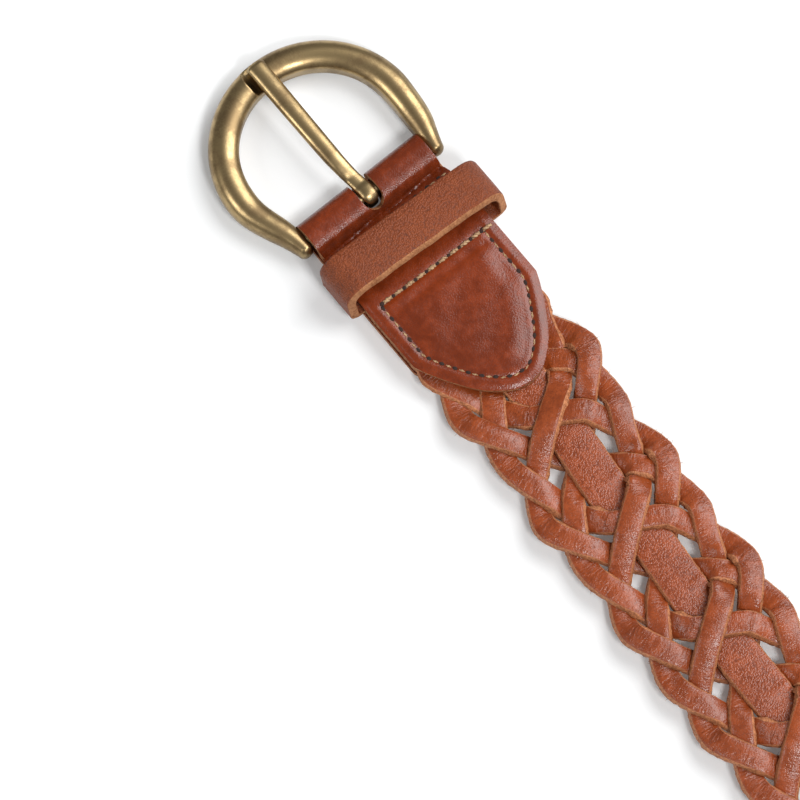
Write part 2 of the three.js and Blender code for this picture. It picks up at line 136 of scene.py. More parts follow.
# The faces of a grid of points, row by row, which may close on itself either way
def gridFaces(rows, columns, closedRows=False, closedColumns=False):
    row = np.arange(rows - (not closedRows))[:, None]
    i = row * columns
    j = (row + 1) % rows * columns
    c = np.arange(columns - (not closedColumns))[None, :]
    d = (c + 1) % columns
    return np.stack([i + c, i + d, j + d, j + c], axis=-1).reshape(-1, 4)


# The faces between rings of equally many points, with both ends closed
def ringFaces(rings, count):
    ends = [list(range(count))[::-1], list(range((rings - 1) * count, rings * count))]
    return gridFaces(rings, count, closedColumns=True).tolist() + ends


# Distance along a line of points, and even steps along it
def lengthAlong(line):
    return np.concatenate([[0], np.cumsum(np.linalg.norm(np.diff(line, axis=0), axis=1))])


def evenSteps(line, count, endpoint=True):
    length = lengthAlong(line)
    want = np.linspace(0, length[-1], count, endpoint=endpoint)
    return np.stack([np.interp(want, length, line[:, 0]), np.interp(want, length, line[:, 1])], axis=1)


def aroundCircle(count):
    return np.arange(count) / count * 2 * math.pi


def unitSteps(steps):
    return steps / np.linalg.norm(steps, axis=1, keepdims=True)


def leftOf(ahead):
    return np.stack([-ahead[:, 1], ahead[:, 0]], axis=1)


def bakeModifiers(piece):
    seen = bpy.context.evaluated_depsgraph_get()
    mesh = bpy.data.meshes.new_from_object(piece.evaluated_get(seen))
    piece.modifiers.clear()
    old = piece.data
    piece.data = mesh
    bpy.data.meshes.remove(old)
    return piece


# One output of a node, with the usual arithmetic
class Wire:
    def __init__(self, graph, socket):
        self.graph = graph
        self.socket = socket

    def __add__(self, other):
        return self.graph.maths("ADD", self, other)

    def __radd__(self, other):
        return self.graph.maths("ADD", other, self)

    def __sub__(self, other):
        return self.graph.maths("SUBTRACT", self, other)

    def __rsub__(self, other):
        return self.graph.maths("SUBTRACT", other, self)

    def __mul__(self, other):
        return self.graph.maths("MULTIPLY", self, other)


class Graph:
    def __init__(self, tree):
        self.tree = tree
        tree.nodes.clear()

    def node(self, kind, settings=None, inputs=None):
        made = self.tree.nodes.new(kind)
        for key, value in (settings or {}).items():
            setattr(made, key, value)
        for key, value in (inputs or {}).items():
            self.feed(made.inputs[key], value)
        return made

    def feed(self, socket, value):
        if isinstance(value, Wire):
            self.tree.links.new(value.socket, socket)
        else:
            socket.default_value = value

    def wire(self, node, output=0):
        return Wire(self, node.outputs[output])

    def maths(self, operation, *values):
        return self.wire(self.node("ShaderNodeMath", {"operation": operation}, dict(enumerate(values))))


class Surface(Graph):
    def __init__(self, name):
        self.material = bpy.data.materials.new(name)
        self.material.use_nodes = True
        super().__init__(self.material.node_tree)
        self.shader = self.node("ShaderNodeBsdfPrincipled")
        output = self.node("ShaderNodeOutputMaterial")
        self.tree.links.new(self.shader.outputs[0], output.inputs["Surface"])
        self.place = self.wire(self.node("ShaderNodeTexCoord"), "Object")

    def noise(self, scale, detail, rough, place=None):
        inputs = {"Vector": place or self.place, "Scale": scale, "Detail": detail, "Roughness": rough}
        return self.wire(self.node("ShaderNodeTexNoise", None, inputs))

    def cells(self, scale):
        inputs = {"Vector": self.place, "Scale": scale}
        return self.wire(self.node("ShaderNodeTexVoronoi", None, inputs), "Distance")

    def between(self, value, low, high):
        inputs = {"Value": value, "From Min": low, "From Max": high}
        return self.wire(self.node("ShaderNodeMapRange", {"interpolation_type": "SMOOTHSTEP"}, inputs))

    def mix(self, share, first, second):
        made = self.node("ShaderNodeMix", {"data_type": "RGBA"})
        for index, value in ((0, share), (6, first), (7, second)):
            if not isinstance(value, Wire) and index:
                value = (*value, 1)
            self.feed(made.inputs[index], value)
        return self.wire(made, 2)

    def attribute(self, name):
        return self.wire(self.node("ShaderNodeAttribute", {"attribute_name": name}), "Fac")

    def bump(self, height, depth, under=None):
        inputs = {"Height": height, "Distance": depth}
        if under is not None:
            inputs["Normal"] = under
        return self.wire(self.node("ShaderNodeBump", None, inputs))

    def finish(self, **values):
        for key, value in values.items():
            self.feed(self.shader.inputs[key.replace("_", " ")], value)
        return self.material


# Leather: its tones, the size of its grain and how deep that and the cross wrinkles go, in metres
def leatherMaterial(name, tones, grain, depth, rough, gloss, pits=0.5, mottled=0.6, wrinkle=0.0):
    s = Surface(name)
    cloud = s.noise(60, 4, 0.6)
    mottle = s.noise(420, 3, 0.6)
    pebble = s.cells(1 / grain)
    fine = s.noise(2.4 / grain, 3, 0.6)
    pores = s.between(pebble, 0.15, 0.75)
    shade = s.between(cloud * 0.5 + mottle * 0.5, 0.36, 0.62)
    colour = s.mix(1 - mottled + shade * mottled, tones["deep"], tones["middle"])
    colour = s.mix(s.between(pebble * 0.6 + fine * 0.4, 0.4, 0.85) * pits, colour, tones["deep"])
    colour = s.mix(s.between(mottle * 0.4 + fine * 0.6, 0.5, 0.72) * 0.4, colour, tones["light"])
    roughness = rough + (mottle - 0.5) * 0.25 + pores * 0.08
    normal = s.bump(fine * 0.35 - pores, depth)
    if wrinkle:
        bend = s.attribute("bend")
        cut = s.attribute("cut")
        inputs = {0: s.attribute("along") * 1000, 1: s.attribute("side") * 260, 2: s.attribute("seed")}
        onStrip = s.wire(s.node("ShaderNodeCombineXYZ", None, inputs))
        creases = s.noise(0.95, 4, 0.62, onStrip)
        ridges = s.noise(2.3, 2, 0.5, onStrip)
        folds = s.between(creases * 0.7 + ridges * 0.3, 0.42, 0.6)
        normal = s.bump(folds * (bend * 0.8 + 0.2), wrinkle, normal)
        # Painted shade: the valleys of the creases are painted darker, most where the strip bends
        colour = s.mix((1 - folds) * (bend * 0.4 + 0.06), colour, tones["deep"])
        fibre = s.noise(2200, 4, 0.75)
        edge = s.mix(s.between(fibre, 0.36, 0.62), tones["cut"], tones["cutDark"])
        colour = s.mix(s.between(cut + (fibre - 0.5) * 0.9, 0.3, 0.6), colour, edge)
        roughness = roughness + cut * 0.4
        normal = s.bump(fibre * cut, 0.0003, normal)
    return s.finish(Base_Color=colour, Roughness=roughness, Normal=normal, Specular_IOR_Level=gloss)


def cutMaterial(name, tones):
    s = Surface(name)
    fibre = s.noise(1800, 4, 0.7)
    patch = s.noise(300, 3, 0.6)
    colour = s.mix(s.between(fibre * 0.6 + patch * 0.4, 0.38, 0.66), tones["cut"], tones["cutDark"])
    return s.finish(Base_Color=colour, Roughness=0.82, Normal=s.bump(fibre, 0.0003), Specular_IOR_Level=0.25)


def brassMaterial(name):
    s = Surface(name)
    cloud = s.noise(140, 4, 0.6)
    speckle = s.noise(2200, 3, 0.65)
    scratch = s.noise(900, 2, 0.5)
    tarnish = s.between(cloud * 0.8 + speckle * 0.2, 0.4, 0.62)
    colour = s.mix(tarnish, (0.4, 0.29, 0.145), (0.21, 0.145, 0.073))
    roughness = 0.31 + tarnish * 0.1 + (speckle - 0.5) * 0.05
    normal = s.bump(speckle * 0.6 + scratch * 0.4, 0.000005)
    return s.finish(Base_Color=colour, Roughness=roughness, Normal=normal, Metallic=1.0)


def plainMaterial(name, first, second, scale, rough):
    s = Surface(name)
    grain = s.noise(scale, 3, 0.6)
    colour = s.mix(s.between(grain, 0.35, 0.65), first, second)
    return s.finish(Base_Color=colour, Roughness=rough, Normal=s.bump(grain, 0.0001))


tan = {
    "deep": (0.075, 0.0105, 0.002), "middle": (0.185, 0.0265, 0.0042), "light": (0.24, 0.043, 0.009),
    "cut": (0.42, 0.19, 0.085), "cutDark": (0.2, 0.066, 0.022),
}
stripTan = {
    "deep": (0.105, 0.0175, 0.0033), "middle": (0.275, 0.052, 0.0105), "light": (0.36, 0.084, 0.022),
    "cut": (0.55, 0.215, 0.088), "cutDark": (0.25, 0.078, 0.025),
}
keeperTan = {"deep": (0.085, 0.017, 0.004), "middle": (0.215, 0.046, 0.0105), "light": (0.3, 0.08, 0.022)}
foldLeather = leatherMaterial("fold leather", tan, 0.0004, 0.000016, 0.2, 0.42)
keeperLeather = leatherMaterial("keeper leather", keeperTan, 0.00042, 0.00012, 0.45, 0.3, pits=0.95, mottled=0.3)
stripLeather = leatherMaterial(
    "strip leather", stripTan, 0.00038, 0.000024, 0.24, 0.5, pits=0.6, mottled=0.5, wrinkle=0.00017)
wideLeather = leatherMaterial(
    "wide strip leather", stripTan, 0.00042, 0.00006, 0.26, 0.5, pits=0.95, mottled=0.45, wrinkle=0.00004)
cutLeather = cutMaterial("cut leather", tan)
brass = brassMaterial("antique brass")
thread = plainMaterial("waxed thread", (0.46, 0.3, 0.16), (0.2, 0.105, 0.048), 2600, 0.7)
# Painted shade: near black for the shade inside the stitch holes
holeShade = plainMaterial("stitch hole", (0.012, 0.005, 0.003), (0.03, 0.01, 0.005), 2600, 0.9)

# The shield's edge from the tip back to the full width, as shares of its taper and of half its width
shield = {"reach": 55.8, "taper": 18.5, "half": 17.0, "skew": 0.7}
shieldEdge = [(0, 0), (0.02, 0.16), (0.13, 0.36), (0.28, 0.54), (0.57, 0.76), (0.87, 0.94), (1, 1)]

# Braid: six narrow strips that turn at the edges and one wide strip that runs straight
braid = {
    "turnPitch": 14.6, "repeats": 24, "reach": 15.2, "firstCrossing": 63.9, "start": 21.0, "end": 759.8,
    "narrow": 5.5, "atCrossing": 0.96, "wide": 9.9, "wideShift": 0.6, "leather": 1.65, "gap": 0.12,
    "stations": 72, "wideStations": 24, "finer": 2, "columns": 5, "fineColumns": 32, "sample": 0.3,
    "wideGive": 0.12, "wideStiff": 4, "calm": 0.45, "calmReach": 3, "clear": 0.15,
    "tipStart": 735.8, "tipRun": 14.0, "pressRun": 15.0, "fullWidthFrom": 43.0, "narrowRun": 9.0,
    "pressedRoom": 3.5, "pressedNarrow": 0.9, "pocketMiddle": 3.5,
    "rounding": 0.36, "crown": 0.36, "flare": 0.3, "ragged": 0.07,
}
# How the photographed belt wanders along its length: x, with its share of the width or its shift to the side
wanderWidth = [(0, 1), (45, 1), (57, 1.035), (70, 0.96), (86, 1), (100, 0.965), (115, 0.985), (132, 1), (900, 1)]
wanderShift = [
    (0, 0), (45, 0), (57, 0.35), (70, 0.3), (86, -0.7), (100, -0.05), (115, -0.75), (132, -0.85), (152, -0.6),
    (200, 0), (900, 0),
]
# The course of a narrow strip over one zigzag of six turn pitches: turn pitches along from a crossing over
# the wide strip, and the share of the reach to the side
zigzagTurns = 6
evenCourse = [
    (-1.64, 0.925), (-1.2, 0.775), (-0.67, 0.59), (-0.37, 0.45), (0, 0.01), (0.26, -0.33), (0.5, -0.6),
    (0.72, -0.8), (1.3, -0.985), (1.83, -0.775), (2.18, -0.556), (2.76, -0.02), (3.2, 0.39), (3.37, 0.58),
    (3.6, 0.77),
]
oddCourse = [
    (-2.54, 1), (-1.85, 0.535), (-1.255, 0), (-0.71, -0.484), (0.31, -0.95), (1.125, -0.63), (1.82, -0.28),
    (2, 0.01), (2.31, 0.476),
]
# A falling strip goes under these of the strips that it meets
fallingGoesUnder = [2, 5]
crossingsPerFall = 5
panelTurns = 2
panelPitch = panelTurns * braid["turnPitch"]
cellsAcross = 4000
wideCode = 2


def zigzag(course, count):
    rows = [(along + zigzagTurns * lap, across) for lap in (-1, 0, 1, 2) for along, across in course]
    fine = course[0][0] + np.linspace(-0.1, zigzagTurns + 0.1, 4961)
    x = fine * braid["turnPitch"]
    y = throughRows(rows, fine) * braid["reach"]
    y = np.convolve(np.pad(y, 20, mode="edge"), np.ones(41) / 41, mode="valid")
    heading = np.unwrap(np.arctan2(np.gradient(y), np.gradient(x)))
    length = lengthAlong(np.stack([x, y], axis=1))
    first = np.interp(course[0][0] * braid["turnPitch"], x, length)
    last = np.interp((course[0][0] + zigzagTurns) * braid["turnPitch"], x, length)
    want = first + (last - first) * np.arange(count) / count

    def atWant(values):
        return np.interp(want, length, values)

    curl = atWant(np.abs(np.gradient(heading, length)))
    share = np.abs(atWant(y) / braid["reach"]) ** 12
    return {
        "x": atWant(x), "y": atWant(y), "heading": atWant(heading), "bend": np.clip(curl * 4.5, 0, 1),
        "half": braid["narrow"] / 2 * (braid["atCrossing"] + (1 - braid["atCrossing"]) * share),
        "path": (last - first) / count,
    }


def straightRun(count):
    zero = np.zeros(count)
    return {
        "x": panelPitch * np.arange(count) / count, "y": zero + braid["wideShift"], "heading": zero, "bend": zero,
        "half": zero + braid["wide"] / 2, "path": panelPitch / count,
    }


# Strips that share one course: their code, coarse and fine stations, the length of a lap, where the fall ends
# and by how many turns the course is shifted
def family(code, makeRun, stations, length, fallEnd=0, turn=0):
    return {
        "code": code, "rough": makeRun(stations), "fine": makeRun(stations * braid["finer"]),
        "length": length, "fallEnd": fallEnd, "turn": turn,
    }


def zigzagFamily(code, course, turn):
    lowest = min(course, key=lambda row: row[1])[0] * braid["turnPitch"]
    length = zigzagTurns * braid["turnPitch"]
    return family(code, lambda count: zigzag(course, count), braid["stations"], length, lowest, turn)


families = [
    zigzagFamily(0, evenCourse, 0), zigzagFamily(1, oddCourse, -1),
    family(wideCode, straightRun, braid["wideStations"], panelPitch),
]


# Which facets of each strip cover each sample point of one braid repeat
def coverage(one, firstVertex):
    run = one["rough"]
    shares = np.linspace(-1, 1, braid["columns"])
    side = np.stack([-np.sin(run["heading"]), np.cos(run["heading"])], axis=1)
    middle = np.stack([run["x"], run["y"]], axis=1)
    grid = middle[:, None, :] + side[:, None, :] * (shares[None, :, None] * run["half"][:, None, None])
    count, columns = grid.shape[:2]
    ahead = np.roll(grid, -1, axis=0)
    ahead[-1, :, 0] += one["length"]
    perRepeat = round(panelPitch / braid["sample"])
    step = panelPitch / perRepeat
    rows = []
    for i in range(count):
        j = (i + 1) % count
        for c in range(columns - 1):
            corners = [
                (grid[i, c], i * columns + c), (grid[i, c + 1], i * columns + c + 1),
                (ahead[i, c + 1], j * columns + c + 1), (ahead[i, c], j * columns + c),
            ]
            for picked in ((0, 1, 2), (0, 2, 3)):
                (a, va), (b, vb), (d, vd) = [corners[k] for k in picked]
                area = (b[0] - a[0]) * (d[1] - a[1]) - (d[0] - a[0]) * (b[1] - a[1])
                if abs(area) < 1e-9:
                    continue
                low = np.ceil(np.min([a, b, d], axis=0) / step).astype(int)
                high = np.floor(np.max([a, b, d], axis=0) / step).astype(int)
                ix, iy = np.meshgrid(np.arange(low[0], high[0] + 1), np.arange(low[1], high[1] + 1), indexing="ij")
                dx = ix * step - a[0]
                dy = iy * step - a[1]
                wb = (dx * (d[1] - a[1]) - (d[0] - a[0]) * dy) / area
                wd = ((b[0] - a[0]) * dy - dx * (b[1] - a[1])) / area
                wa = 1 - wb - wd
                inside = (wa >= 0) & (wb >= 0) & (wd >= 0)
                if not inside.any():
                    continue
                ix, iy, wa, wb, wd = (v[inside] for v in (ix, iy, wa, wb, wd))
                falling = ix * step < one["fallEnd"]
                turn = np.where(falling, 0, zigzagTurns) + one["turn"] - panelTurns * (ix // perRepeat)
                if one["code"] == wideCode:
                    turn = turn * 0
                    falling = falling & False
                cell = (ix % perRepeat) * cellsAcross + iy + cellsAcross // 2
                same = np.ones(len(ix))
                vertices = [same * (firstVertex + v) for v in (va, vb, vd)]
                rows.append(np.stack([cell, same * one["code"], falling, turn, *vertices, wa, wb, wd], axis=1))
    return np.concatenate(rows)


# Whether the strip of each row in p lies over that in q, and whether the two cross there at all
def liesOver(p, q):
    code, falling, turn = 1, 2, 3
    pWide = p[:, code] == wideCode
    qWide = q[:, code] == wideCode
    same = p[:, falling] == q[:, falling]
    first = p[:, falling] == 1
    meeting = np.where(first, q[:, turn] - p[:, turn], p[:, turn] - q[:, turn])
    under = np.isin(meeting, fallingGoesUnder)
    over = np.where(first, ~under, under)
    over = np.where(same, p[:, turn] < q[:, turn], over)
    over = np.where(qWide, (p[:, falling] == 1) == (p[:, code] == 0), over)
    over = np.where(pWide, ~((q[:, falling] == 1) == (q[:, code] == 0)), over)
    valid = ((meeting >= 1) & (meeting <= crossingsPerFall)) | same | pWide | qWide
    return over, valid


# Heights of all strips: crossings push their two strips apart until they clear, while each strip keeps
# drawing itself straight
def settle():
    starts = []
    total = 0
    rows = []
    for one in families:
        starts.append(total)
        rows.append(coverage(one, total))
        total += len(one["rough"]["x"]) * braid["columns"]
    rows = np.concatenate(rows)
    # Each strip counts once in a cell: one number for its cell, code, direction and turn
    keys = rows[:, 0] * cellsAcross + rows[:, 1] * 1000 + rows[:, 2] * 500 + (rows[:, 3] + 200)
    rows = rows[np.unique(keys, return_index=True)[1]]
    overs = []
    unders = []
    for apartBy in range(1, 9):
        near = rows[:-apartBy, 0] == rows[apartBy:, 0]
        p = rows[:-apartBy][near]
        q = rows[apartBy:][near]
        if not len(p):
            break
        over, valid = liesOver(p, q)
        overs += [p[valid & over], q[valid & ~over]]
        unders += [q[valid & over], p[valid & ~over]]
    overs = np.concatenate(overs)
    unders = np.concatenate(unders)
    overAt, overShare = overs[:, 4:7].astype(int), overs[:, 7:10]
    underAt, underShare = unders[:, 4:7].astype(int), unders[:, 7:10]
    heights = np.zeros(total)
    apart = braid["leather"] + braid["gap"]
    giveOver = np.where(overs[:, 1] == wideCode, braid["wideGive"], 1)
    giveUnder = np.where(unders[:, 1] == wideCode, braid["wideGive"], 1)
    overPart = (2 * giveOver / (giveOver + giveUnder))[:, None]
    underPart = 2 - overPart
    places = np.concatenate([overAt.ravel(), underAt.ravel()])

    def gridOf(one, start):
        count = len(one["rough"]["x"])
        return slice(start, start + count * braid["columns"]), (count, braid["columns"])

    def push(strength):
        nonlocal heights
        short = apart + (heights[underAt] * underShare).sum(1) - (heights[overAt] * overShare).sum(1)
        hit = np.maximum(short, 0)[:, None]
        moves = np.concatenate([(hit * overShare * overPart).ravel(), (-hit * underShare * underPart).ravel()])
        felt = np.concatenate([((hit > 0) * overShare).ravel(), ((hit > 0) * underShare).ravel()])
        moved = np.bincount(places, moves, total)
        weight = np.bincount(places, felt, total)
        heights = heights + strength * moved / (weight + 0.02)
        return short.max()

    def bow(grid):
        return (np.roll(grid, 1, axis=0) + np.roll(grid, -1, axis=0)) / 2 - grid

    def straighten(rate):
        for one, start in zip(families, starts):
            part, shape = gridOf(one, start)
            grid = heights[part].reshape(shape)
            padded = np.pad(grid, ((0, 0), (1, 1)), mode="edge")
            across = (padded[:, :-2] + padded[:, 2:]) / 2 - grid
            grid = grid + rate * bow(grid) + 1.4 * rate * across
            for again in range(braid["wideStiff"] if one["code"] == wideCode else 0):
                grid = grid + rate * bow(grid)
            heights[part] = grid.ravel()

    rounds = 500
    for k in range(rounds):
        straighten(0.3 * (1 - k / rounds))
        push(0.5)
    for k in range(250):
        worst = push(0.62)
    print("braid settled, deepest overlap mm:", round(float(worst), 3))
    # A height that stands out from those beside it is drawn back
    for one, start in zip(families, starts):
        part, shape = gridOf(one, start)
        grid = heights[part].reshape(shape)
        near = [np.roll(grid, k, axis=0) for k in range(-braid["calmReach"], braid["calmReach"] + 1)]
        calm = np.median(np.stack(near), axis=0)
        one["heights"] = calm + np.clip(grid - calm, -braid["calm"], braid["calm"])


settle()
layLow = min(one["heights"].min() for one in families) - braid["leather"] / 2
layHigh = max(one["heights"].max() for one in families) + braid["leather"] / 2
print("lay of the braid mm:", round(float(layLow), 2), round(float(layHigh), 2))


# Values on a periodic run of stations, made finer with a smooth curve through them
def finerRun(values, times):
    before, after, second = (np.roll(values, shift, axis=0) for shift in (1, -1, -2))
    parts = []
    for k in range(times):
        t = k / times
        bend = (2 * before - 5 * values + 4 * after - second) * t * t
        twist = (3 * values - before - 3 * after + second) * t ** 3
        parts.append(0.5 * (2 * values + (after - before) * t + bend + twist))
    return np.stack(parts, axis=1).reshape(-1, values.shape[1])


# How far the strips are pressed flat, fully under the shield and in the tip, and how much narrower they lie
def inTip(x):
    return smoothStep((x - braid["tipStart"] + braid["tipRun"]) / braid["tipRun"])


def pressedAt(x, y):
    side = np.clip(np.abs(y) / shield["half"], 0, 1)
    edge = shield["reach"] - shield["taper"] * throughRows([(share, back) for back, share in shieldEdge], side)
    return np.maximum(1 - smoothStep((x - edge) / braid["pressRun"]), inTip(x))


def narrowedAt(x):
    front = 1 - smoothStep((x - braid["fullWidthFrom"]) / braid["narrowRun"] + 1)
    return 1 + np.maximum(front, inTip(x)) * (braid["pressedNarrow"] - 1)


# Outline of a strip's section: side in millimetres, height as a share of half the leather, and how much of a
# cut edge it is
def stripSection(half):
    r = braid["rounding"]
    flare = braid["flare"]
    inner = half - flare / 2
    top = [(side, 1, 0) for side in np.linspace(-inner + r, inner - r, 9)]
    right = [
        (inner - 0.4 * r, 0.88, 0.6), (inner + 0.02, 0.45, 1), (inner + 0.6 * flare, -0.2, 1),
        (inner + flare, -0.75, 1), (inner + 0.7 * flare, -0.97, 1),
    ]
    under = [(side, -1, 0.75) for side in np.linspace(half - 1.2 * r, -half + 1.2 * r, 4)]
    left = [(-side, up, cut) for side, up, cut in reversed(right)]
    return np.array(top + right + under + left)


def strip(name, one, shift, material, seed):
    run = one["fine"]
    count = len(run["x"])
    laps = int(braid["repeats"] * panelTurns * braid["turnPitch"] / one["length"]) + 3
    steps = np.arange(-2 * count, laps * count)
    lap = steps // count
    at = steps % count
    offset = braid["firstCrossing"] + shift * braid["turnPitch"] + lap * one["length"]
    middle = offset + run["x"][at]
    keep = (middle >= braid["start"]) & (middle <= braid["end"])
    steps, at, offset = steps[keep], at[keep], offset[keep]
    heading = run["heading"][at][:, None]
    full = run["half"].max()
    section = stripSection(full)
    scale = run["half"][at][:, None] / full
    last = braid["fineColumns"]
    dense = np.linspace(-1, 1, last + 1)
    columns = np.linspace(-1, 1, braid["columns"])
    kernel = np.array([1, 3, 5, 6, 5, 3, 1]) / 24
    spread = []
    for row in np.eye(len(columns)):
        padded = np.pad(np.interp(dense, columns, row), 3, mode="reflect", reflect_type="odd")
        spread.append(np.convolve(padded, kernel, mode="valid"))
    allHeights = finerRun(one["heights"], braid["finer"]) @ np.stack(spread)

    def middleAt(sides):
        share = np.clip(sides / full, -1, 1)
        low = np.clip(((share + 1) * (last / 2)).astype(int), 0, last - 1)
        part = (share + 1) * (last / 2) - low
        rows = allHeights[at]
        height = rows[:, low] * (1 - part) + rows[:, low + 1] * part
        x = offset[:, None] + run["x"][at][:, None] - np.sin(heading) * sides[None, :] * scale
        y = run["y"][at][:, None] + np.cos(heading) * sides[None, :] * scale
        narrow = narrowedAt(x)
        pressed = pressedAt(x, y * narrow)
        press = 1 + pressed * (braid["pressedRoom"] / (layHigh - layLow) - 1)
        free = max(braid["pocketMiddle"], -layLow + braid["clear"])
        level = free + pressed * (braid["pocketMiddle"] - press * (layHigh + layLow) / 2 - free)
        y = y * narrow * throughRows(wanderWidth, x) + throughRows(wanderShift, x)
        return np.stack([x, y, level + press * height], axis=-1), press

    sides = section[:, 0]
    centre, press = middleAt(sides)
    ahead = np.gradient(centre, axis=0)
    left = middleAt(np.clip(sides + 0.25, -full, full))[0] - middleAt(np.clip(sides - 0.25, -full, full))[0]
    normal = np.cross(ahead, left)
    normal /= np.linalg.norm(normal, axis=-1, keepdims=True)
    normal *= np.where(normal[..., 2:] < 0, -1, 1)
    crown = braid["crown"] * (1 - (sides / full) ** 2) * (section[:, 1] > 0)
    lift = (section[:, 1] * braid["leather"] / 2)[None, :] * press + crown[None, :]
    points = centre + normal * lift[..., None]
    rings, size = points.shape[:2]
    ragged = np.random.default_rng(seed).normal(0, braid["ragged"], (rings, size, 3))
    points = points + ragged * (section[:, 2] > 0.8)[None, :, None] * (1, 1, 0.4)
    unit = layout["unit"]
    attributes = {
        "along": np.repeat(steps * run["path"] * unit, size), "side": np.tile(sides * unit, rings),
        "cut": np.tile(section[:, 2], rings), "bend": np.repeat(run["bend"][at], size),
        "seed": np.full(rings * size, float(seed)),
    }
    return makeObject(name, braidPlace(points), ringFaces(rings, size), [material], None, attributes)


pieces = []


def keepPiece(piece, body, slot, *nodes):
    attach(piece, body)
    if nodes:
        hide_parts(*nodes)
    pieces.append(piece)
    return piece


keepPiece(strip("wide_strip", families[2], 0, wideLeather, 0), "strap", "centre_leather", "centre_strand")
for k in range(6):
    made = strip(f"strip_{k + 1}", families[k % 2], panelTurns * (k // 2), stripLeather, 10 + 10 * k)
    keepPiece(made, "strap", "strand_leather", f"strand_{k + 1}")
print("braid strips made")

# Leather folded round the bar, ending in the stitched shield
fold = {
    "leather": 1.6, "width": 33.2, "narrowTo": 6.0, "wideFrom": 8.6, "barHeight": 3.8, "backHeight": 0.8,
    "slotWidth": 4.9, "slotReach": 4.35, "slotBack": 0.6, "columns": 40,
    "inset": 3.0, "lineAt": 22.6, "borderDrop": 0.5, "groove": 0.3, "puff": 0.45, "pitch": 2.9,
}
# The front leaf's height along the belt, with the crease behind the bar
creaseRows = [
    (-1, 6.8), (0, 6.8), (1.6, 6.68), (3.2, 6.2), (4.4, 5.35), (5.3, 4.55), (5.9, 4.25), (6.6, 4.5), (7.4, 5.3),
    (8.6, 5.95), (10.5, 6.2), (60, 6.2),
]


def shieldShare(x):
    return throughRows(shieldEdge, (shield["reach"] - x) / shield["taper"])


def foldHalf(x):
    widen = smoothStep((x - fold["narrowTo"]) / (fold["wideFrom"] - fold["narrowTo"]))
    half = fold["width"] / 2 + (shield["half"] - fold["width"] / 2) * widen
    return half * shieldShare(x)


def foldMiddle(x):
    return shield["skew"] * (1 - shieldShare(x))


def slotHalf(x):
    radius = fold["slotWidth"] / 2
    past = np.clip(x - (fold["slotReach"] - radius), 0, radius)
    return np.where(x < fold["slotReach"], np.sqrt(radius * radius - past * past), 0)


taperX = shield["reach"] - shield["taper"] * (np.linspace(1, 0.03, 46) ** 2)
outlineX = np.concatenate([np.arange(6.0, shield["reach"] - shield["taper"], 0.5), taperX])
outlineMiddle, outlineHalf = foldMiddle(outlineX), foldHalf(outlineX)
outline = np.concatenate([
    np.stack([outlineX, outlineMiddle + outlineHalf], axis=1),
    np.stack([outlineX, outlineMiddle - outlineHalf], axis=1)[::-1],
])


def nearOutline(x, y):
    best = np.full(x.shape, 1e9)
    for k in range(len(outline)):
        a = outline[k - 1]
        d = outline[k] - a
        if np.hypot(*d) > 20:
            continue
        t = np.clip(((x - a[0]) * d[0] + (y - a[1]) * d[1]) / (d @ d + 1e-12), 0, 1)
        best = np.minimum(best, np.hypot(x - a[0] - t * d[0], y - a[1] - t * d[1]))
    return best


def shieldRelief(x, y):
    edge = nearOutline(x, y)
    inner = np.minimum(edge, x - (fold["lineAt"] - fold["inset"])) - fold["inset"]
    border = -fold["borderDrop"] * (1 - smoothStep(edge / 2.2)) ** 1.5 * smoothStep((x - 9) / 4)
    groove = -fold["groove"] * np.exp(-(inner / 0.5) ** 2)
    puff = fold["puff"] * smoothStep((inner - 0.2) / 5)
    hollow = -0.22 * np.exp(-((x - 25.6) / 1.1) ** 2) * smoothStep(inner / 2)
    waves = 0.1 * np.sin(x * 0.55 + y * 0.16) * np.sin(y * 0.31 + 1) * smoothStep(inner / 3)
    pleats = 0.14 * np.sin(y * 2.3 + 1.4 * np.sin(y * 0.8) + x) + 0.1 * np.sin(y * 4.7 + 2 * x)
    crumple = np.exp(-((x - 6.1) / 1.2) ** 2) * (pleats + 0.12 * np.sin(x * 5 + y * 0.4))
    return border + groove + puff + hollow + waves + crumple


# Gives a sheet its thickness, with its own material on the cut edge, and softens that edge
def thicken(piece, leather, soft):
    thick = piece.modifiers.new("thickness", "SOLIDIFY")
    thick.thickness = leather * layout["unit"]
    thick.offset = 0
    thick.material_offset_rim = 1
    softened = piece.modifiers.new("softened edge", "BEVEL")
    softened.width = soft * layout["unit"]
    softened.segments = 3
    softened.limit_method = "ANGLE"
    softened.angle_limit = math.radians(50)
    return tidyMesh(bakeModifiers(piece))


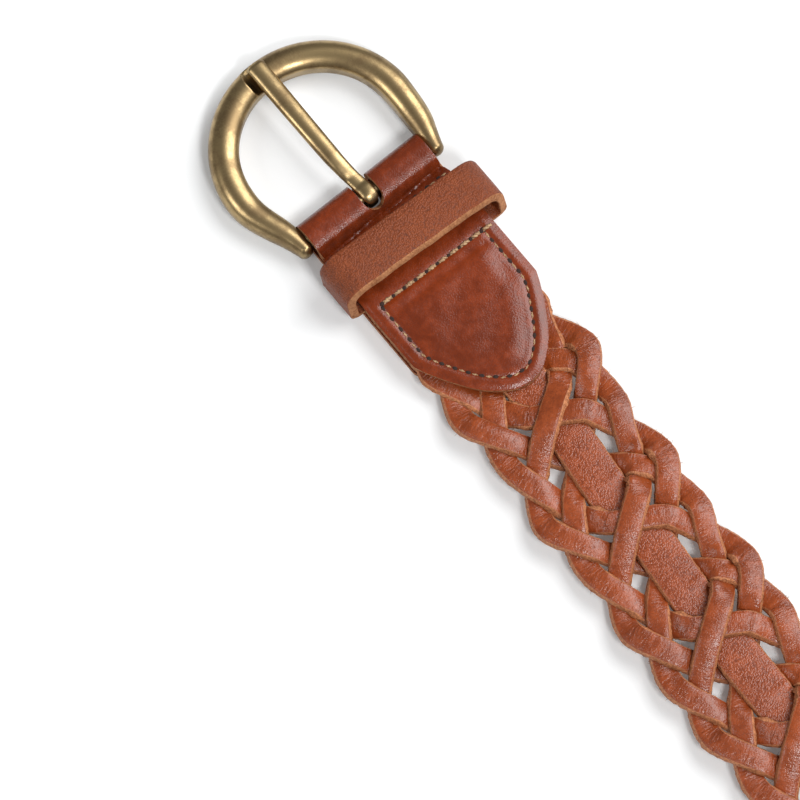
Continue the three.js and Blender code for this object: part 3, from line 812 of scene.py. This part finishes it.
def foldSheet():
    arc = np.linspace(math.radians(270), math.radians(90), 26)
    radius = fold["barHeight"] - fold["backHeight"]
    reach = fold["slotReach"]
    back = outlineX[::-1]
    back = np.concatenate([back[back > 7], np.linspace(7, 0.2, 36)])
    mouth = reach - fold["slotWidth"] / 2 * (1 - np.sin(np.linspace(0, math.pi / 2, 18)))
    level = np.arange(12.4, shield["reach"] - shield["taper"] - 0.2, 0.4)
    front = [np.linspace(0.2, mouth[0], 12)[:-1], mouth, np.linspace(reach + 0.02, 12, 50), level, taperX]
    front = np.concatenate(front)
    x = np.concatenate([back, radius * np.cos(arc), front])[:, None]
    backZ = np.full(len(back), fold["backHeight"])
    z = np.concatenate([backZ, fold["barHeight"] + radius * np.sin(arc), throughRows(creaseRows, front)])[:, None]
    isFront = (np.arange(len(x)) >= len(back) + len(arc))[:, None]
    inner = slotHalf(np.where(isFront, x, x + fold["slotBack"]))
    across = inner + (foldHalf(x) - inner) * np.linspace(0, 1, fold["columns"])
    points = []
    for side in (1, -1):
        y = foldMiddle(x) + side * across
        points.append(pointsOf(x, y, z + np.where(isFront, shieldRelief(x, y), 0)))
    quads = gridFaces(len(x), fold["columns"])
    faces = np.concatenate([quads, quads[:, ::-1] + len(x) * fold["columns"]])
    materials = [foldLeather, cutLeather]
    made = makeObject("fold_leather", endPlace(np.stack(points)), faces, materials, merge=2e-6)
    return thicken(made, fold["leather"], 0.4)


# The raw edges of both leaves and of the strips between them, seen from the side
def shieldSide(name, side):
    x = np.linspace(8.8, 43, 150)[:, None]
    y = foldMiddle(x) + side * (foldHalf(x) - 0.25)
    out, z = np.array([(-1.4, 1.5), (-0.1, 1.6), (0.1, 2.8), (-0.05, 4.0), (-0.15, 5.3), (-1.4, 5.4)]).T
    rough = np.random.default_rng(7 + side).normal(0, 0.07, (len(x), len(z)))
    fade = smoothStep((44 - x) / 6)
    points = pointsOf(x, y + side * (out + rough - 0.9 * (1 - fade)), z)
    return makeObject(name, endPlace(points), ringFaces(len(x), len(z)), [cutLeather])


keepPiece(foldSheet(), "strap", "chape_leather", "chape")
keepPiece(shieldSide("shield_side_left", 1), "strap", "chape_leather", "chape")
keepPiece(shieldSide("shield_side_right", -1), "strap", "chape_leather", "chape")
print("folded leather made")

# Loop that holds the tip when the belt is worn
keeper = {
    "shift": 0.8, "skew": 0.045, "start": 9.2, "length": 10.6, "leather": 2.0, "half": 20.1, "low": 2.8,
    "high": 13.5, "lowCorner": 1.8, "highCorner": 4.2, "lean": 1.4,
}


def keeperLine():
    points = []
    for side, level, start in ((1, "low", -90), (1, "high", 0), (-1, "high", 90), (-1, "low", 180)):
        radius = keeper[level + "Corner"]
        y = side * (keeper["half"] - radius)
        z = keeper[level] + (radius if level == "low" else -radius)
        for angle in np.radians(np.linspace(start, start + 90, 16)):
            points.append((y + radius * math.cos(angle), z + radius * math.sin(angle)))
    return evenSteps(np.array(points + points[:1]), 220, endpoint=False)


# Section of the loop's leather: share of its length, part in millimetres, depth from -1 outside to 1 inside,
# and whether the face from there on is a cut edge
keeperSection = [
    (0, 0.55, -1, 0), (0.25, 0, -1, 0), (0.5, 0, -1, 0), (0.75, 0, -1, 0), (1, -1.25, -1, 0), (1, -0.85, -0.93, 1),
    (1, -0.65, -0.75, 1), (1, -0.1, 0.7, 1), (1, -0.1, 0.9, 1), (1, -0.45, 1, 0), (0.5, 0, 1, 0), (0, 0.45, 1, 1),
    (0, 0.05, 0.8, 1), (0, 0, -0.3, 0), (0, 0.12, -0.8, 0),
]


def keeperLoop():
    line = keeperLine()
    inward = leftOf(unitSteps(np.roll(line, -1, axis=0) - np.roll(line, 1, axis=0)))
    y, z = line[:, :1], line[:, 1:]
    share, part, deep, cut = np.array(keeperSection).T
    up = smoothStep((z - keeper["low"]) / (keeper["high"] - keeper["low"]))
    depth = deep * keeper["leather"] / 2
    wave = 0.05 * np.sin(y * 0.42 + 0.6) + 0.04 * np.sin(y * 0.95)
    x = keeper["start"] + keeper["skew"] * y + keeper["lean"] * (1 - up) + share * (keeper["length"] + wave)
    x = x + part * np.where(share == 1, 0.35 + 0.65 * up, 1)
    arch = (0.35 - 0.5 * (y / keeper["half"]) ** 2) * up
    dip = -0.22 * (np.abs(share - 0.5) * 2) ** 2 * up
    points = pointsOf(x, y + inward[:, :1] * depth + keeper["shift"], z + inward[:, 1:] * depth + arch + dip)
    faces = gridFaces(len(line), len(share), closedRows=True, closedColumns=True)
    materials = [keeperLeather, cutLeather]
    return makeObject("keeper_loop", endPlace(points), faces, materials, np.tile(cut, len(line)))


keepPiece(keeperLoop(), "strap", "keeper_leather", "keeper")
print("keeper made")

# Buckle frame, its bar and the prong
buckle = {
    "barRadius": 1.8, "barHeight": 3.8, "archReach": 38.7, "width": 49.4, "band": 6.8, "height": 6.8,
    "legSpread": 38.4, "overhang": 1.7, "legEnd": 18.3, "widest": 14.5, "sides": 36, "steps": 420,
    "notchDepth": 2.2, "notchHalf": 2.9, "notchAt": -1.9, "legCap": 1.5, "slid": 1.0,
    "prongRoot": 3.7, "prongSides": 28, "eye": 3.2, "hole": 2.0, "eyeSteps": 56, "eyeSides": 20,
}
# Width of the frame's legs towards their ends, as a share of the band
legWidths = [(-60, 1), (-17, 1), (-11, 0.93), (-6, 0.85), (-2.5, 0.72), (0, 0.62), (1.7, 0.54), (4, 0.5)]
# The middle of the prong from its free tip to where it hugs the bar: x, z, thickness and width
prongRows = [
    (-37.7, 7.0, 0.7, 2.4), (-37.45, 7.1, 1.7, 3.8), (-36.6, 7.2, 2.5, 4.45), (-30, 7.2, 2.8, 4.5),
    (-20, 7.2, 2.8, 4.35), (-11, 7.15, 2.8, 4.1), (-8.5, 6.95, 2.6, 3.9), (-6, 6.6, 2.2, 3.75), (-4, 6.3, 1.8, 3.65),
    (-2, 6.3, 1.7, 3.65), (-0.5, 6.5, 1.9, 3.75), (0.9, 6.6, 1.9, 3.75), (1.9, 6.3, 1.65, 3.4), (2.6, 5.95, 1.1, 2.6),
    (2.95, 5.8, 0.5, 1.6),
]

# How far the prong bends to the side on its way to the tip
prongBend = [(-39, -0.9), (-20, -1.0), (-11, -0.98), (-6, -0.68), (-3, -0.3), (0, 0), (4, 0)]


# A round section with flattened sides, flatter with more power
def section(angle, half, rise, power):
    c = np.cos(angle)
    s = np.sin(angle)
    return half * np.sign(c) * np.abs(c) ** (2 / power), rise * np.sign(s) * np.abs(s) ** (2 / power)


def buckleRing():
    half = (buckle["width"] - buckle["band"]) / 2
    arch = buckle["archReach"] - buckle["band"] / 2 - buckle["widest"]
    t = np.linspace(0, 1, 80)[:, None]
    legEnd = buckle["legEnd"]
    guides = [(buckle["overhang"], legEnd), (-2.5, legEnd + 0.3), (-8.5, half), (-buckle["widest"], half)]
    a, b, c, d = np.array(guides)
    leg = (1 - t) ** 3 * a + 3 * t * (1 - t) ** 2 * b + 3 * t * t * (1 - t) * c + t ** 3 * d
    angle = np.linspace(math.pi / 2, 1.5 * math.pi, 400)[1:-1]
    curve = np.stack([-buckle["widest"] + arch * np.cos(angle), half * np.sin(angle)], axis=1)
    line = evenSteps(np.concatenate([leg, curve, leg[::-1] * (1, -1)]), buckle["steps"])
    ahead = unitSteps(np.gradient(line, axis=0))
    # Each leg ends in a rounded cap
    capAngles = np.linspace(0.12, math.pi / 2, 9)[:-1, None]
    depth = buckle["legCap"] * np.cos(capAngles)
    cap = np.sin(capAngles)
    lines = np.concatenate([line[:1] - ahead[:1] * depth, line, line[-1:] + ahead[-1:] * depth[::-1]])
    inwards = leftOf(np.concatenate([np.repeat(ahead[:1], len(cap), 0), ahead, np.repeat(ahead[-1:], len(cap), 0)]))
    sizes = np.concatenate([cap, np.ones((len(line), 1)), cap[::-1]])
    narrow = throughRows(legWidths, lines[:, :1])
    across, up = section(aroundCircle(buckle["sides"]), 1, 1, 2.15)
    across = np.where(across > 0, np.minimum(1.13 * across, 1), across)
    wide = sizes * narrow * buckle["band"] / 2
    x = lines[:, :1] + inwards[:, :1] * across * wide
    y = lines[:, 1:] + inwards[:, 1:] * across * wide
    z = buckle["barHeight"] + up * (sizes * (0.45 + 0.55 * narrow) * buckle["height"] / 2)
    y = y - buckle["slid"] * smoothStep((-2 - x) / 12)
    share = np.clip(np.abs(y - buckle["notchAt"]) / buckle["notchHalf"], 0, 1)
    floor = buckle["barHeight"] + buckle["height"] / 2 - buckle["notchDepth"] * np.sqrt(1 - share ** 3)
    z = np.where((share < 1) & (x < -buckle["widest"]), np.minimum(z, floor), z)
    return makeObject("buckle_ring", endPlace(pointsOf(x, y, z)), ringFaces(len(lines), buckle["sides"]), [brass])


def buckleBar():
    half = buckle["legSpread"] / 2
    y, size = np.array([(-half, 0.75), (-half + 0.3, 1), (half - 0.3, 1), (half, 0.75)]).T[:, :, None]
    angles = aroundCircle(32)
    radius = buckle["barRadius"] * size
    points = pointsOf(radius * np.cos(angles), y, buckle["barHeight"] + radius * np.sin(angles))
    return makeObject("buckle_bar", endPlace(points), ringFaces(4, 32), [brass])


def prongBody():
    ends = np.array(prongRows)
    free, shoulder, bends, last = ends[[0, 2, 5, -1], 0]
    stretches = [
        np.linspace(free, shoulder, 14)[:-1], np.linspace(shoulder, bends, 40)[:-1], np.linspace(bends, 2, 50),
        np.linspace(2.1, last, 12),
    ]
    x = np.concatenate(stretches)
    z, thick, wide = [throughRows(ends[:, [0, k]], x) for k in (1, 2, 3)]
    slope = np.gradient(z, x)[:, None]
    across, up = section(aroundCircle(buckle["prongSides"]), 1, 1, 2.35)
    lean = np.sqrt(1 + slope * slope)
    rise = up * (thick / 2)[:, None]
    y = across * (wide / 2)[:, None] + throughRows(prongBend, x)[:, None]
    points = pointsOf(x[:, None] - rise * (slope / lean), y, z[:, None] + rise / lean)
    return makeObject("prong_body", endPlace(points), ringFaces(len(x), buckle["prongSides"]), [brass])


def prongEye():
    turn = aroundCircle(buckle["eyeSteps"])[:, None]
    middle = (buckle["eye"] + buckle["hole"]) / 2
    wall = (buckle["eye"] - buckle["hole"]) / 2
    y, r = section(aroundCircle(buckle["eyeSides"]), buckle["prongRoot"] / 2, wall, 2.4)
    radius = middle + r
    narrow = 1 - 0.28 * smoothStep(np.cos(turn) * 1.3 - 0.3)
    points = pointsOf(radius * np.cos(turn), y * narrow, buckle["barHeight"] + radius * np.sin(turn))
    faces = gridFaces(buckle["eyeSteps"], buckle["eyeSides"], True, True)[:, ::-1]
    return makeObject("prong_eye", endPlace(points), faces, [brass])


keepPiece(buckleRing(), "buckle", "buckle_brass", "buckle_frame")
keepPiece(buckleBar(), "buckle", "buckle_brass", "buckle_frame")
keepPiece(prongBody(), "tongue", "prong_brass", "prong")
keepPiece(prongEye(), "tongue", "prong_brass", "prong")
print("buckle made")

# Plain tip: two leaves over a filling, as wide as the shield
tip = {
    "start": 735.8, "length": 92.0, "round": 20.0, "half": 17.0, "pocket": 26.0, "leather": 1.6,
    "backHeight": 0.8, "frontHeight": 6.2, "columns": 44, "inset": 3.0,
}


def tipHalf(x):
    back = np.sqrt(np.clip((tip["start"] + tip["length"] - x) / tip["round"], 0, 1))
    return tip["half"] * back * (1.5 - 0.5 * back)


def tipX():
    reach = tip["start"] + tip["length"]
    rounded = reach - tip["round"] * np.linspace(1, 0.02, 50) ** 2
    return np.concatenate([np.linspace(tip["start"], reach - tip["round"], 120)[:-1], rounded])


def tipLeaf(name, height, side):
    x = tipX()[:, None]
    share = np.linspace(-1, 1, 2 * tip["columns"])
    half = tipHalf(x)
    y = share * half
    edge = np.minimum(half - np.abs(y), (tip["start"] + tip["length"] - x) * 1.4)
    inner = np.minimum(edge, x - tip["start"])
    border = -0.45 * (1 - smoothStep(edge / 2.2)) ** 1.5
    groove = -0.25 * np.exp(-((inner - tip["inset"]) / 0.5) ** 2)
    puff = 0.3 * smoothStep((inner - 3.4) / 4)
    points = pointsOf(x, y, height + side * (border + groove + puff - 0.3))
    faces = gridFaces(len(x), len(share))[:, ::-1]
    made = makeObject(name, braidPlace(points), faces, [foldLeather, cutLeather])
    return thicken(made, tip["leather"], 0.35)


def tipFilling():
    x = tipX()
    x = x[x > tip["start"] + tip["pocket"]][:, None] - 0.5
    half = tipHalf(x) - 0.5
    low, high = tip["backHeight"] + 0.5, tip["frontHeight"] - 0.7
    points = pointsOf(x, half * (1, 1, -1, -1), (low, high, high, low))
    return makeObject("tip_filling", braidPlace(points), ringFaces(len(x), 4), [cutLeather])


keepPiece(tipLeaf("tip_front", tip["frontHeight"], 1), "strap", "chape_leather", "tip")
keepPiece(tipLeaf("tip_back", tip["backHeight"], 0), "strap", "chape_leather", "tip")
keepPiece(tipFilling(), "strap", "chape_leather", "tip")
print("tip made")


# Stitches: one twisted stitch, laid along a path with a hole between each two; each hole is a small near-black cup, a
# painted shade for the inside of the hole
def stitchShape(name, length, radius, rise):
    points = []
    faces = []
    rings, sides = 6, 5
    for ply in (0, 1):
        base = len(points)
        for t in np.linspace(-1, 1, rings):
            turn = 3.4 * t + math.pi * ply
            size = radius * (1 - 0.35 * t * t)
            y = math.cos(turn) * radius * 0.6
            z = rise * (1 - t * t) - 0.12 + math.sin(turn) * radius * 0.5
            for angle in aroundCircle(sides):
                points.append((t * length / 2, y + size * math.cos(angle), z + size * math.sin(angle)))
        faces += [[base + i for i in face] for face in ringFaces(rings, sides)]
    return makeObject(name, np.array(points) * layout["unit"], faces, [thread])


# A small cup sunk at a stitch hole, in the painted shade material
def holeShape(name, radius):
    around = [(1.15 * radius * math.cos(a), 0.9 * radius * math.sin(a)) for a in aroundCircle(8)]
    points = [(0, 0, 0.05)]
    for size, height in ((0.75, 0.05), (1, -0.1), (0.9, -0.5)):
        points += [(size * x, size * y, height) for x, y in around]
    points.append((0, 0, -0.5))
    faces = [[0, 1 + k, 1 + (k + 1) % 8] for k in range(8)]
    faces += (gridFaces(3, 8, closedColumns=True)[:, ::-1] + 1).tolist()
    faces += [[17 + k, 25, 17 + (k + 1) % 8] for k in range(8)]
    return makeObject(name, np.array(points) * layout["unit"], faces, [holeShade])


class Shapes(Graph):
    def __init__(self, name, floats):
        super().__init__(bpy.data.node_groups.new(name, "GeometryNodeTree"))
        self.tree.interface.new_socket("Geometry", in_out="OUTPUT", socket_type="NodeSocketGeometry")
        kinds = {"Geometry": "Geometry", **dict.fromkeys(floats, "Float"), "Shape": "Object", "Material": "Material"}
        self.ids = {}
        for key, kind in kinds.items():
            socket = self.tree.interface.new_socket(key, in_out="INPUT", socket_type="NodeSocket" + kind)
            self.ids[key] = socket.identifier
        self.given = self.node("NodeGroupInput")
        self.out = self.node("NodeGroupOutput")

    def input(self, key):
        return self.wire(self.given, key)

    def made(self, kind, settings=None, inputs=None, output=0):
        return self.wire(self.node(kind, settings, inputs), output)

    def random(self, least, most, seed):
        return self.made("FunctionNodeRandomValue", {"data_type": "FLOAT_VECTOR"}, {0: least, 1: most, "Seed": seed})

    # Sets the given shape on the points, as plain mesh in the given material
    def setOn(self, points, facing, scale):
        shape = self.node("GeometryNodeObjectInfo", {"transform_space": "ORIGINAL"}, {"Object": self.input("Shape")})
        inputs = {"Points": points, "Instance": self.wire(shape, "Geometry"), "Rotation": facing, "Scale": scale}
        rows = self.made("GeometryNodeInstanceOnPoints", None, inputs)
        real = self.made("GeometryNodeRealizeInstances", None, {"Geometry": rows})
        inputs = {"Geometry": real, "Material": self.input("Material")}
        self.feed(self.out.inputs[0], self.made("GeometryNodeSetMaterial", None, inputs))


def stitchTree():
    g = Shapes("stitch row", ["Pitch", "Shift"])
    curve = g.made("GeometryNodeMeshToCurve", None, {"Mesh": g.input("Geometry")})
    even = g.made("GeometryNodeResampleCurve", {"mode": "LENGTH"}, {"Curve": curve, "Length": g.input("Pitch")})
    along = g.node("GeometryNodeCaptureAttribute")
    along.capture_items.new("VECTOR", "Along")
    g.feed(along.inputs[0], even)
    g.feed(along.inputs[1], g.made("GeometryNodeInputTangent"))
    points = g.made("GeometryNodeCurveToPoints", {"mode": "EVALUATED"}, {"Curve": g.wire(along)})
    inputs = {0: g.wire(along, 1), "Scale": g.input("Shift") * g.input("Pitch")}
    moved = g.made("ShaderNodeVectorMath", {"operation": "SCALE"}, inputs)
    placed = g.made("GeometryNodeSetPosition", None, {"Geometry": points, "Offset": moved})
    axes = {"axis": "X", "pivot_axis": "Z"}
    facing = g.made("FunctionNodeAlignRotationToVector", axes, {"Vector": g.wire(along, 1)})
    g.setOn(placed, facing, g.random((0.9, 0.85, 0.8), (1.06, 1.12, 1.15), 4))
    return g


stitchRows = stitchTree()


# Fibres standing off the cut edges, thickest where the leather's edge is rawest
def fuzzTree():
    g = Shapes("edge fuzz", ["Density"])
    cut = g.made("GeometryNodeInputNamedAttribute", {"data_type": "FLOAT"}, {"Name": "cut"})
    inputs = {"Mesh": g.input("Geometry"), "Selection": g.maths("GREATER_THAN", cut, 0.9), "Seed": 3}
    scatter = g.node("GeometryNodeDistributePointsOnFaces", None, {**inputs, "Density": g.input("Density")})
    lean = g.random((-1.1, -1.1, -0.7), (1.1, 1.1, 0.7), 5)
    aim = g.made("ShaderNodeVectorMath", {"operation": "ADD"}, {0: g.wire(scatter, "Normal"), 1: lean})
    facing = g.made("FunctionNodeAlignRotationToVector", {"axis": "Z"}, {"Vector": aim})
    g.setOn(g.wire(scatter, "Points"), facing, g.random((0.7, 0.7, 0.25), (1.2, 1.2, 1.3), 6))
    return g


# A piece grown by a tree from a mesh, kept as plain mesh
def grow(name, mesh, grower, values):
    made = linked(name, mesh)
    modifier = made.modifiers.new("grown", "NODES")
    modifier.node_group = grower.tree
    for key, value in values.items():
        modifier[grower.ids[key]] = value
    return tidyMesh(bakeModifiers(made))


fuzz = {"perSquareMetre": 170000.0, "length": 0.85, "thick": 0.05}
fuzzRows = fuzzTree()


def fibreShape():
    points = []
    for x, z, size in ((0, -0.1, 1), (0.06, 0.4, 0.8), (0.22, 0.75, 0.5), (0.4, 1, 0.15)):
        thick = fuzz["thick"] * size
        for angle in aroundCircle(3):
            points.append((x * fuzz["length"] + thick * math.cos(angle), thick * math.sin(angle), z * fuzz["length"]))
    return makeObject("fibre_shape", np.array(points) * layout["unit"], ringFaces(4, 3), [cutLeather])


fibre = fibreShape()
for piece in [piece for piece in pieces if "strip" in piece.name]:
    slot = "centre_leather" if piece.name == "wide_strip" else "strand_leather"
    values = {"Density": fuzz["perSquareMetre"], "Shape": fibre, "Material": cutLeather}
    keepPiece(grow(piece.name + "_fuzz", piece.data.copy(), fuzzRows, values), "strap", slot)
bpy.data.objects.remove(fibre)
print("fuzz made")


def stitchRow(name, path, shift, shape, material):
    mesh = bpy.data.meshes.new(name)
    mesh.from_pydata(path.tolist(), [[k, k + 1] for k in range(len(path) - 1)], [])
    values = {"Pitch": fold["pitch"] * layout["unit"], "Shift": shift, "Shape": shape, "Material": material}
    keepPiece(grow(name, mesh, stitchRows, values), "strap", "chape_leather")


def insetFrom(line, inset):
    ahead = np.gradient(line, axis=0)
    ahead /= np.linalg.norm(ahead, axis=1, keepdims=True) + 1e-9
    return line + np.stack([ahead[:, 1], -ahead[:, 0]], axis=1) * inset


def insetPath(inset, first):
    moved = insetFrom(outline[outline[:, 0] > first - 4], inset)
    good = (nearOutline(moved[:, 0], moved[:, 1]) > inset - 0.05) & (moved[:, 0] >= first)
    return moved[good]


def shieldPath(line, lift):
    z = throughRows(creaseRows, line[:, 0]) + shieldRelief(line[:, 0], line[:, 1]) + fold["leather"] / 2 + lift
    return endPlace(pointsOf(line[:, 0], line[:, 1], z))


stitch = stitchShape("stitch_shape", 1.6, 0.17, 0.2)
fatStitch = stitchShape("fat_stitch_shape", 2.4, 0.34, 0.3)
hole = holeShape("hole_shape", 0.6)
smallHole = holeShape("small_hole_shape", 0.52)
rim = insetPath(fold["inset"], fold["lineAt"])
across = np.linspace(rim[-1, 1], rim[0, 1], 60)[1:-1]
frontLine = np.stack([fold["lineAt"] + 0.035 * across, across], axis=1)
tipAt = tipX()
tipAt = tipAt[(tipAt > tip["start"] + tip["inset"]) & (tipAt < tip["start"] + tip["length"] - 0.2)]
tipEdge = np.stack([tipAt, tipHalf(tipAt)], axis=1)
tipRim = insetFrom(np.concatenate([tipEdge, tipEdge[::-1] * (1, -1)]), tip["inset"])
inCrease = np.stack([np.full(40, 7.9), np.linspace(-12, 14, 40)], axis=1)
# Each row: its path, how high the thread and the holes lie, and their shapes
rows = [
    ("shield_rim", rim, 0.02, stitch, 0.16, hole), ("shield_line", frontLine, 0.1, fatStitch, 0.2, smallHole),
    ("crease_line", inCrease, 0.0, stitch, 0.05, hole),
]
for name, line, up, threadShape, under, holeOf in rows:
    stitchRow(name + "_thread", shieldPath(line, up), 0.5, threadShape, thread)
    stitchRow(name + "_holes", shieldPath(line, under), 0.0, holeOf, holeShade)
tipRim = tipRim[(tipRim[:, 0] > tip["start"] + tip["inset"]) & (np.abs(tipRim[:, 1]) < tip["half"])]
tipHeight = tip["frontHeight"] + tip["leather"] / 2 - 0.5
tipPath = braidPlace(pointsOf(tipRim[:, 0], tipRim[:, 1], tipHeight))
stitchRow("tip_thread", tipPath, 0.5, stitch, thread)
stitchRow("tip_holes", tipPath + (0, 0, 0.00014), 0.0, hole, holeShade)
for shape in (stitch, fatStitch, hole, smallHole):
    bpy.data.objects.remove(shape)
print("stitches made")

# Camera, floor and light
camera = {
    "azimuth": math.radians(52.5), "elevation": math.radians(75), "target": (-0.3541, -0.0212, 0.0), "distance": 1.5,
    "lens": 312.0,
}
azimuth, elevation = camera["azimuth"], camera["elevation"]
ahead = Vector((-math.sin(azimuth), math.cos(azimuth), 0))
right = Vector((math.cos(azimuth), math.sin(azimuth), 0))
up = ahead * math.sin(elevation) + Vector((0, 0, math.cos(elevation)))
back = ahead * -math.cos(elevation) + Vector((0, 0, math.sin(elevation)))
lens = bpy.data.cameras.new("camera")
lens.lens = camera["lens"]
lens.sensor_width = 36
lens.clip_start = 0.1
view = linked("camera", lens)
view.matrix_world = Matrix((right, up, back)).transposed().to_4x4()
view.location = Vector(camera["target"]) + back * camera["distance"]
bpy.context.scene.camera = view

white = (1, 1, 1, 1)
floorWhite = Surface("floor white").finish(
    Base_Color=(0.695, 0.703, 0.708, 1), Roughness=0.9, Specular_IOR_Level=0.1, Emission_Color=white,
    Emission_Strength=0.1)
corners = np.array([(-4, -4, 0), (4, -4, 0), (4, 4, 0), (-4, 4, 0)], float)
ground = makeObject("floor", corners, [[0, 1, 2, 3]], [floorWhite])

lights = {
    "back": {"place": (0.18, 1.2, 1.3), "size": 1.4, "watts": 38.0},
    "side": {"place": (0.88, 0.0, 1.33), "size": 0.36, "watts": 13.0},
    "front": {"place": (-0.32, -1.2, 1.0), "size": 0.6, "watts": 7.0},
}
for name, row in lights.items():
    lamp = bpy.data.lights.new(name, "AREA")
    lamp.size = row["size"]
    lamp.energy = row["watts"]
    holder = linked(name, lamp)
    holder.location = Vector(camera["target"]) + Vector(row["place"])
    holder.rotation_euler = Vector(row["place"]).to_track_quat("Z", "Y").to_euler()
world = bpy.data.worlds.new("studio")
world.use_nodes = True
background = world.node_tree.nodes["Background"]
background.inputs["Color"].default_value = white
background.inputs["Strength"].default_value = 0.25
bpy.context.scene.world = world
bpy.context.scene.view_settings.view_transform = "Standard"
